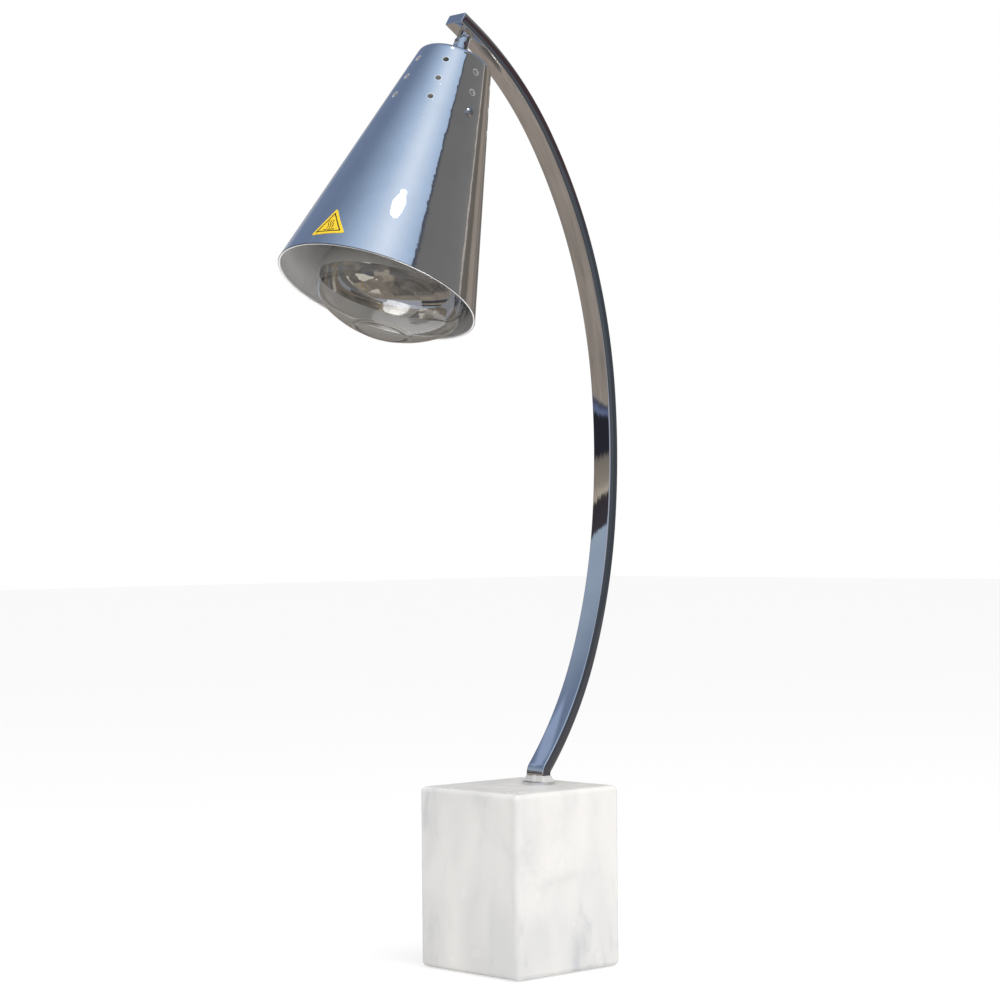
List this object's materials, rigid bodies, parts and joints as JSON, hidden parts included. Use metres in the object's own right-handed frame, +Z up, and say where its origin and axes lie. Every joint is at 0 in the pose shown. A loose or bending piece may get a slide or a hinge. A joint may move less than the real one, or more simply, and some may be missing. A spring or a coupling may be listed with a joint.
{
  "type": "heat lamp warmer",
  "caption": "Food warming lamp: a polished cone shade with a reflector lamp hangs from a swept rectangular arm on a stone block base, with an inline cord switch.",
  "frame": {"origin": "middle of the stone block's underside, on the table", "axes": "+Z up, +X from the arm's foot towards the hanging head, +Y to the head's left seen from the block"},
  "size_m": [0.3456, 0.2183, 0.8015],
  "materials": {
    "stone": "polished",
    "felt": "matte",
    "zinc_steel": "satin",
    "chrome": "polished",
    "shade_metal": "polished outside, satin inside",
    "cord_black": "satin",
    "plug_rubber": "satin",
    "plastic_black": "semi-gloss",
    "rocker_plastic": "gloss",
    "brass": "satin",
    "label_yellow": "semi-gloss",
    "lead_sleeve": "matte",
    "porcelain": "gloss",
    "clear_glass": "clear",
    "mount_glass": "clear",
    "silvering": "polished",
    "cap_aluminium": "satin",
    "vitrite": "gloss",
    "solder": "satin",
    "tungsten": "satin"
  },
  "bodies": {
    "stand": {"stone_block": "stone", "base_pad": "felt", "base_washer": "zinc_steel", "base_nut": "zinc_steel", "lamp_pipe": "zinc_steel", "foot_flange": "chrome", "arm_tube": "chrome", "arm_end_cap": "chrome", "arm_cord": "cord_black", "cord_grip": "cord_black", "cord_block_to_switch": "cord_black", "cord_switch_to_plug": "cord_black", "cord_tie": "plastic_black", "plug_body": "plug_rubber", "plug_prongs": "brass", "switch_lower_shell": "plastic_black", "switch_upper_shell": "plastic_black", "switch_screws": "zinc_steel", "switch_contacts": "brass"},
    "switch_rocker": {"switch_rocker": "rocker_plastic"},
    "swivel": {"swivel_top": "chrome", "swivel_nipple": "zinc_steel", "swivel_washer": "zinc_steel", "swivel_nut": "zinc_steel", "tilt_bolt": "chrome", "tilt_nut": "chrome"},
    "head": {"stem": "chrome", "shade_nipple": "zinc_steel", "shade_washer": "zinc_steel", "shade_nut": "zinc_steel", "shade": "shade_metal", "caution_label": "label_yellow", "yoke_screws": "zinc_steel", "yoke_spacers": "zinc_steel", "yoke_nuts": "zinc_steel", "lamp_leads": "lead_sleeve"},
    "lamp_holder": {"lamp_yoke": "zinc_steel", "socket_body": "porcelain", "socket_shell": "brass", "socket_contact": "brass", "socket_rivets": "zinc_steel", "terminal_screws": "brass"},
    "bulb": {"bulb_glass": "clear_glass", "bulb_reflector": "silvering", "bulb_cap": "cap_aluminium", "bulb_insulator": "vitrite", "bulb_tip": "solder", "bulb_mount": "mount_glass", "bulb_filament": "tungsten", "filament_supports": "tungsten", "bulb_heat_shield": "cap_aluminium"}
  },
  "joints": [
    {"name": "head_pan", "type": "hinge", "parent": "stand", "child": "swivel", "pos_m": [0.05897, 0, 0.77565], "axis": [0.5337, 0, -0.8457], "range_deg": [-170, 170]},
    {"name": "head_tilt", "type": "hinge", "parent": "swivel", "child": "head", "pos_m": [0.05897, 0, 0.77565], "axis": [0, -1, 0], "range_deg": [-28, 43]},
    {"name": "lamp_swing", "type": "hinge", "parent": "head", "child": "lamp_holder", "pos_m": [0.08904, 0, 0.70902], "axis": [-0.0731, -0.9968, -0.033], "range_deg": [-0.5, 10.9]},
    {"name": "bulb_turn", "type": "hinge", "parent": "lamp_holder", "child": "bulb", "pos_m": [0.08904, 0, 0.70902], "axis": [-0.3275, -0.0073, 0.9448], "continuous": true},
    {"name": "switch_rock", "type": "hinge", "parent": "stand", "child": "switch_rocker", "pos_m": [-0.094, -0.066, 0.0143], "axis": [1, 0, 0], "range_deg": [0, 16]}
  ]
}
